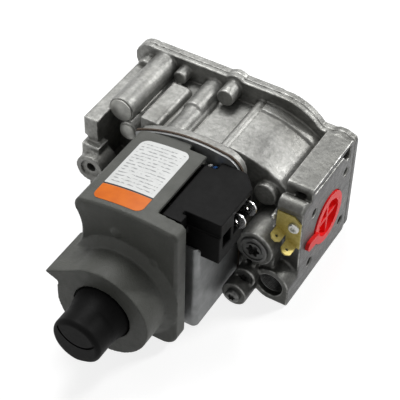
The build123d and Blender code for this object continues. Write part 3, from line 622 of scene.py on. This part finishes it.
# -------------------------------------------------------------------- springs
# Each spring is wound from round steel wire. It stands on the body at one end,
# and the piece that it presses shortens it when that piece lifts. The detent
# clip on the knob's shaft and the inlet screen are of the same bright steel.
spring_wire, tree, shader, place = finish("spring_wire", 1.0, 0.3)
coloured(tree, shader, mottle(tree, place, 800, 3), (0.3, 0.3, 0.3), (0.42, 0.42, 0.41))
dress(spring_wire, "detent_clip", "inlet_screen")


def yielding(node, joint, lift, stands_at):
    """A copy of a CAD spring that shortens by lift, in metres, towards the end it stands on."""
    piece = merged(node + "_wire", node)
    for face in piece.data.polygons:
        face.use_smooth = True
    stands_for(piece, node, spring_wire, "spring_steel")
    ends = [vertex.co.y for vertex in piece.data.vertices]
    length = max(ends) - min(ends)
    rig.squash(piece, joint, axis=(0, 1, 0), anchor=(0, stands_at(ends), 0), keep=1 - lift / length)


yielding("main_valve_spring", "main_valve_lift", 0.0025, max)
yielding("plunger_spring_1", "plunger_1_lift", 0.0024, min)
yielding("plunger_spring_2", "plunger_2_lift", 0.0024, min)
yielding("regulator_spring", "regulator_cup_slide", 0.0015, min)

# ------------------------------------------------------------- inner metalwork
# Turned brass tubes, stems and shafts, and the soft-iron plungers, lie inside
# the body and the head.
brass, tree, shader, place = finish("turned_brass", 1.0, 0.25)
coloured(tree, shader, mottle(tree, place, 400, 3, (1, 6, 1)), (0.62, 0.42, 0.14), (0.78, 0.58, 0.24))
dress(brass, "main_valve_stem", "guide_tube_1", "guide_tube_2", "knob_shaft")
iron, tree, shader, place = finish("soft_iron", 1.0, 0.4)
coloured(tree, shader, mottle(tree, place, 500, 3, (1, 8, 1)), (0.30, 0.30, 0.31), (0.42, 0.42, 0.43))
dress(iron, "plunger_1", "plunger_2")

# ----------------------------------------------------------------- body plugs
# Two pale aluminium plugs close the test taps between the ribs, and an aluminium
# cap, coloured dark as painted shade, screws over the regulator's adjuster. The cup
# under the spring of the regulator is as pale as the plugs.
plug_metal, tree, shader, place = finish("plug_metal", 0.6, 0.5)
coloured(tree, shader, mottle(tree, place, 350, 4), (0.34, 0.34, 0.32), (0.50, 0.50, 0.47))
relief(tree, shader, mottle(tree, place, 2000, 2), 0.00003)
dress(plug_metal, "body_plugs", "regulator_cup")
shaded_cap_metal, tree, shader, place = finish("shaded_cap_metal", 0.85, 0.45)
coloured(tree, shader, mottle(tree, place, 350, 4), (0.07, 0.07, 0.068), (0.15, 0.15, 0.145))
roughened(tree, shader, mottle(tree, place, 700, 3), 0.34, 0.52)
dress(shaded_cap_metal, "regulator_cap")

# ---------------------------------------------------------------- outlet plug
# The outlet is closed for shipping by a moulded red plug with a cross inside
# and a tab to pull it by.
red_plastic, tree, shader, place = finish("red_plastic", 0.0, 0.42, 0.2)
coloured(tree, shader, mottle(tree, place, 160, 3), (0.86, 0.018, 0.020), (0.97, 0.028, 0.028))
# a faint red glow is painted in as painted light, which keeps the shaded side red
shader.inputs["Emission Color"].default_value = (0.9, 0.015, 0.015, 1)
shader.inputs["Emission Strength"].default_value = 0.07
relief(tree, shader, mottle(tree, place, 1500, 2), 0.00003)
dress(red_plastic, "outlet_plug")

# ----------------------------------------------------------- ground terminals
# A stamped brass bracket, screwed to the casting, has two blades for push-on
# connectors.
bright_brass, tree, shader, place = finish("bright_brass", 0.7, 0.58)
coloured(tree, shader, mottle(tree, place, 500, 4), (0.38, 0.31, 0.08), (0.53, 0.45, 0.17))
relief(tree, shader, mottle(tree, place, 2600, 2), 0.00002)
dress(bright_brass, "ground_bracket")

# -------------------------------------------------------- gasket, plate, frame
# The head stands on a zinc-plated steel plate over a brown fibre gasket. A
# steel strip is bent round the two solenoids and carries their magnetic field.
gasket, tree, shader, place = finish("gasket_fibre", 0.0, 0.85)
coloured(tree, shader, mottle(tree, place, 900, 4), (0.035, 0.022, 0.013), (0.07, 0.045, 0.028))
relief(tree, shader, mottle(tree, place, 4000, 2), 0.00005)
dress(gasket, "head_gasket")
plate_steel, tree, shader, place = finish("plate_steel", 0.8, 0.5)
coloured(tree, shader, mottle(tree, place, 120, 5), (0.17, 0.175, 0.175), (0.27, 0.275, 0.275))
roughened(tree, shader, mottle(tree, place, 500, 3), 0.42, 0.62)
grain = mottle(tree, place, 500, 3, (1, 1, 0.06))
relief(tree, shader, grain, 0.00003)
dress(plate_steel, "mounting_plate", "solenoid_frame", "diaphragm_plate")

# -------------------------------------------------------------------- solenoids
# Each coil is enamelled wire on a pale nylon bobbin, wrapped in dark tape. The
# gas cock and the regulator's adjuster are moulded in the same nylon.
nylon, tree, shader, place = finish("pale_nylon", 0.0, 0.45)
coloured(tree, shader, mottle(tree, place, 200, 3), (0.55, 0.55, 0.50), (0.66, 0.66, 0.61))
dress(nylon, "bobbin_1", "bobbin_2", "gas_cock", "regulator_adjuster")
tape, tree, shader, place = finish("coil_tape", 0.0, 0.4)
wraps = mottle(tree, place, 90, 3, (1, 12, 1))
coloured(tree, shader, wraps, (0.02, 0.016, 0.014), (0.05, 0.04, 0.03), 0.35, 0.65)
dress(tape, "winding_1", "winding_2")

# ------------------------------------------------------------------ head cover
# The cover is moulded in one piece in grey plastic with a fine spark texture.
# It stands on the steel plate, open at the right and beside the terminal block.
grey_plastic, tree, shader, place = finish("grey_plastic", 0.0, 0.55, 0.35)
coloured(tree, shader, mottle(tree, place, 90, 4), (0.055, 0.057, 0.050), (0.080, 0.082, 0.073))
roughened(tree, shader, mottle(tree, place, 300, 3), 0.42, 0.66)
relief(tree, shader, mottle(tree, place, 1400, 4), 0.00018)
shell = merged("shell", "head_cover")
softened(shell, voxel=0.0009 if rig.quick() else 0.0005, passes=3, triangles=190000)
stands_for(shell, "head_cover", grey_plastic, "cover_plastic")

# ----------------------------------------------------------------------- label
# A glossy white sticker on the roof of the cover, with an orange band across
# its front end under a black rule. Pale grey dashes in rows fill the rest.
row_gap = 0.00115
text_left, text_right = 0.0446, 0.0688
text_front, text_back = -0.0775, -0.0462
rule_front, rule_back = -0.0806, -0.0794
side_edge = 0.0003      # over this width the ink fades at the ends of the rows
ink_edge = 0.0002       # and over this width in front of and behind them
ink_strength = 0.72


def between(tree, value, low, high, fade):
    """1 between low and high, with a ramp of that width inside each end."""
    begun = step_up(tree, value, low, low + fade)
    ended = step_up(tree, value, high, high - fade)
    return math_step(tree, "MULTIPLY", begun, ended)


sticker, tree, shader, place = finish("sticker", 0.0, 0.35, 0.2)
paper = shades(tree, mottle(tree, place, 200, 3), (0.3, 0.66, 0.67, 0.66), (0.7, 0.73, 0.74, 0.73))
run_back = along(tree, place, 1)
run_across = along(tree, place, 0)
rows = math_step(tree, "PINGPONG", run_back, row_gap)
row = step_up(tree, rows, 0.00072, 0.00082)
dashes = step_up(tree, mottle(tree, place, 420, 3, (1, 3, 0)), 0.47, 0.52)
printed = math_step(tree, "MULTIPLY", row, dashes)
printed = math_step(tree, "MULTIPLY", printed, between(tree, run_across, text_left, text_right, side_edge))
printed = math_step(tree, "MULTIPLY", printed, between(tree, run_back, text_front, text_back, ink_edge))
printed = math_step(tree, "MULTIPLY", printed, ink_strength)
paper = tinted(tree, paper, (0.20, 0.20, 0.21), printed, "MIX")
rule = between(tree, run_back, rule_front, rule_back, ink_edge)
paper = tinted(tree, paper, (0.02, 0.02, 0.02), rule, "MIX")
band = step_up(tree, run_back, rule_front + ink_edge, rule_front)
orange = shades(tree, mottle(tree, place, 160, 3), (0.3, 0.62, 0.125, 0.004), (0.7, 0.72, 0.165, 0.008))
tree.links.new(tinted(tree, paper, orange, band, "MIX"), shader.inputs["Base Color"])
roughened(tree, shader, mottle(tree, place, 260, 3), 0.28, 0.42)
dress(sticker, "cover_label")

# ------------------------------------------------------------------------ knob
# The knob is moulded in black plastic with a dull skin. It is pushed on the end
# of the shaft and turns it through a D-shaped hole.
black_plastic, tree, shader, place = finish("black_plastic", 0.0, 0.5, 0.07)
coloured(tree, shader, mottle(tree, place, 150, 4), (0.0020, 0.0020, 0.0020), (0.0050, 0.0050, 0.0050))
roughened(tree, shader, mottle(tree, place, 400, 3), 0.42, 0.6)
relief(tree, shader, mottle(tree, place, 2200, 2), 0.00005)
dress(black_plastic, "knob")

# -------------------------------------------------------------- terminal block
# The block is moulded in black plastic and stands on the frame beside the cover.
# It has a socket for a plug near the front and two blades behind it.
block = merged("block", "terminal_block")
softened(block, voxel=0.0007 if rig.quick() else 0.00035, passes=2, triangles=120000)
stands_for(block, "terminal_block", black_plastic, "block_plastic")

# ----------------------------------------------------------- terminals and leads
# Two tin-plated blades stand in the terminal block. A white and a blue vinyl
# lead run from the right-hand coil up the notch in the block.
tin, tree, shader, place = finish("tin_plate", 1.0, 0.25)
coloured(tree, shader, mottle(tree, place, 400, 3), (0.62, 0.62, 0.62), (0.72, 0.72, 0.72))
dress(tin, "quick_terminals")
for name, dark, light in (
    ("white", (0.66, 0.66, 0.63), (0.74, 0.74, 0.71)),
    ("blue", (0.02, 0.09, 0.30), (0.03, 0.14, 0.42)),
):
    vinyl, tree, shader, place = finish("vinyl_" + name, 0.0, 0.4)
    coloured(tree, shader, mottle(tree, place, 600, 2), dark, light)
    dress(vinyl, "coil_lead_" + name)

visual_box = [list(corner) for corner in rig.bounds()]
with open("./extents.json", "w") as record_file:
    json.dump({"cad": cad_box, "visual": visual_box}, record_file)
